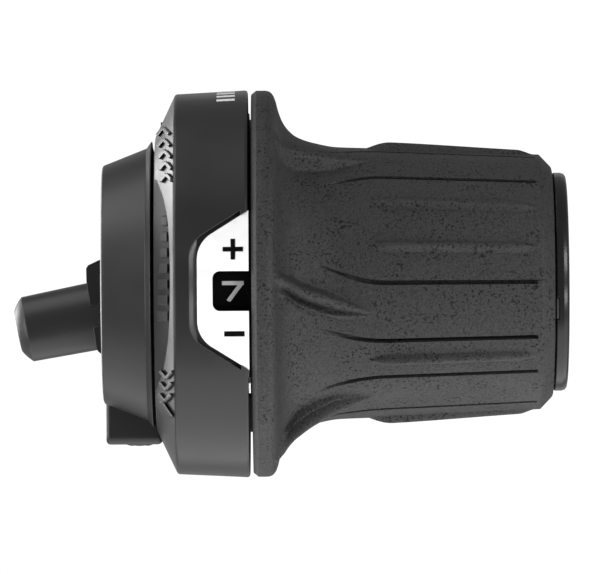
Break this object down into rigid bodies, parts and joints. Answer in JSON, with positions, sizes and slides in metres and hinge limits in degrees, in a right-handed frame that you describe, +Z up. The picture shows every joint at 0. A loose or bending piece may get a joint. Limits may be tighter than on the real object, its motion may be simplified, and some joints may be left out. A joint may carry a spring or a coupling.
{
  "type": "twist-grip gear shifter",
  "caption": "Twist-grip gear shifter for a handlebar end: bar clamp, casing barrel, housing with a gear window, and a ribbed rubber grip that turns around the bar.",
  "frame": {"origin": "on the handlebar's axis, at the middle of the clamp ring", "axes": "+X along the handlebar towards its outer end, -Y towards the rider and the gear window, +Z up"},
  "size_m": [0.0732, 0.0509, 0.0508],
  "materials": {
    "housing_plastic": "fine matt black moulding",
    "cover_plastic": "satin black moulding",
    "white_plastic": "smooth white moulding",
    "mark_black": "smooth black",
    "number_grey": "metallic grey print",
    "gloss_black": "semi-gloss black moulding",
    "sleeve_plastic": "smooth black acetal",
    "grip_rubber": "finely stippled rubber",
    "cap_rubber": "smooth rubber",
    "black_steel": "black oxide steel",
    "zinc_steel": "zinc-plated steel",
    "spring_steel": "bright spring steel",
    "brass": "plain brass"
  },
  "bodies": {
    "housing": {"clamp_bracket": "housing_plastic", "housing_cover": "cover_plastic", "dial_plate": "white_plastic", "dial_marks": "mark_black", "cable_barrel": "housing_plastic", "cable_guide": "brass", "clamp_bolt": "black_steel", "clamp_nut": "zinc_steel", "inner_sleeve": "sleeve_plastic", "retaining_clip": "zinc_steel", "end_ring": "gloss_black", "click_spring": "spring_steel", "spring_rivets": "brass", "inboard_washer": "sleeve_plastic", "cover_screws": "black_steel", "cable_port_cap": "cap_rubber"},
    "twist_grip": {"cable_drum": "sleeve_plastic", "drum_screws": "zinc_steel", "detent_ring": "zinc_steel", "number_ring": "mark_black", "gear_numbers": "number_grey", "grip_core": "sleeve_plastic", "grip_rubber": "grip_rubber", "outboard_washer": "sleeve_plastic"}
  },
  "joints": [
    {"name": "grip_twist", "type": "hinge", "parent": "housing", "child": "twist_grip", "pos_m": [0.03, 0, 0], "axis": [1, 0, 0], "range_deg": [0, 72], "deforming": ["click_spring"]}
  ]
}
